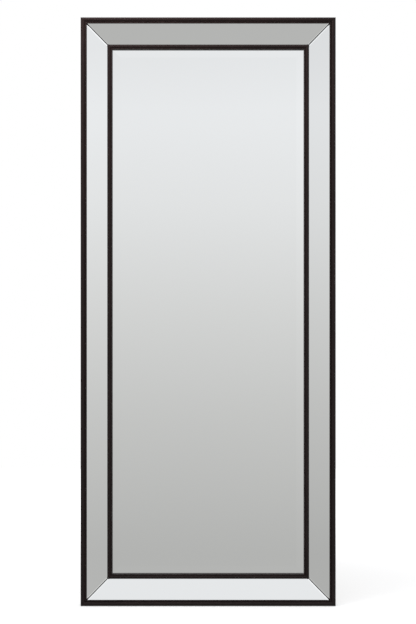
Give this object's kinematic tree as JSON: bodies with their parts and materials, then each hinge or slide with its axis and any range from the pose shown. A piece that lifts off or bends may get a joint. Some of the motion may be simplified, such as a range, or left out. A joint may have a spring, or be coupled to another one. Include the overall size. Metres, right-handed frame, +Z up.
{
  "type": "wall mirror",
  "caption": "Full-length wall mirror: bevelled centre plate in a dark bead frame with sloping mitred mirror strips round it, hung by rings at the back.",
  "frame": {"origin": "middle of the lower edge of the wooden frame, in the plane of its flat rear", "axes": "+Z up along the mirror's height, +Y backwards to the wall, so the glass faces -Y, and +X to the right of someone who looks into the mirror"},
  "size_m": [0.78, 0.046, 1.8],
  "materials": {
    "dark_wood": "satin",
    "border_mirror": "polished",
    "centre_mirror": "polished",
    "foam_tape": "matte",
    "packer_rubber": "matte",
    "card": "matte",
    "hardboard": "matte",
    "screw_steel": "satin",
    "point_steel": "satin",
    "v_nail_steel": "satin",
    "strap_steel": "satin",
    "ring_steel": "satin",
    "bumper_rubber": "matte"
  },
  "bodies": {
    "frame": {"rail_top": "dark_wood", "rail_bottom": "dark_wood", "stile_left": "dark_wood", "stile_right": "dark_wood", "border_mirror_top": "border_mirror", "border_mirror_bottom": "border_mirror", "border_mirror_left": "border_mirror", "border_mirror_right": "border_mirror", "border_tape_top": "foam_tape", "border_tape_bottom": "foam_tape", "border_tape_left": "foam_tape", "border_tape_right": "foam_tape", "centre_mirror": "centre_mirror", "plate_packers": "packer_rubber", "backing_card": "card", "backing_board": "hardboard", "framing_points": "point_steel", "corner_v_nails": "v_nail_steel", "hanger_strap_left": "strap_steel", "hanger_strap_right": "strap_steel", "hanger_screws": "screw_steel", "wall_bumpers": "bumper_rubber"},
    "left_ring": {"hanger_ring_left": "ring_steel"},
    "right_ring": {"hanger_ring_right": "ring_steel"}
  },
  "joints": [
    {"name": "left_ring_swing", "type": "hinge", "parent": "frame", "child": "left_ring", "pos_m": [-0.354, 0.00278, 1.35], "axis": [1, 0, 0], "range_deg": [0, 180]},
    {"name": "right_ring_swing", "type": "hinge", "parent": "frame", "child": "right_ring", "pos_m": [0.354, 0.00278, 1.35], "axis": [1, 0, 0], "range_deg": [0, 180]}
  ]
}
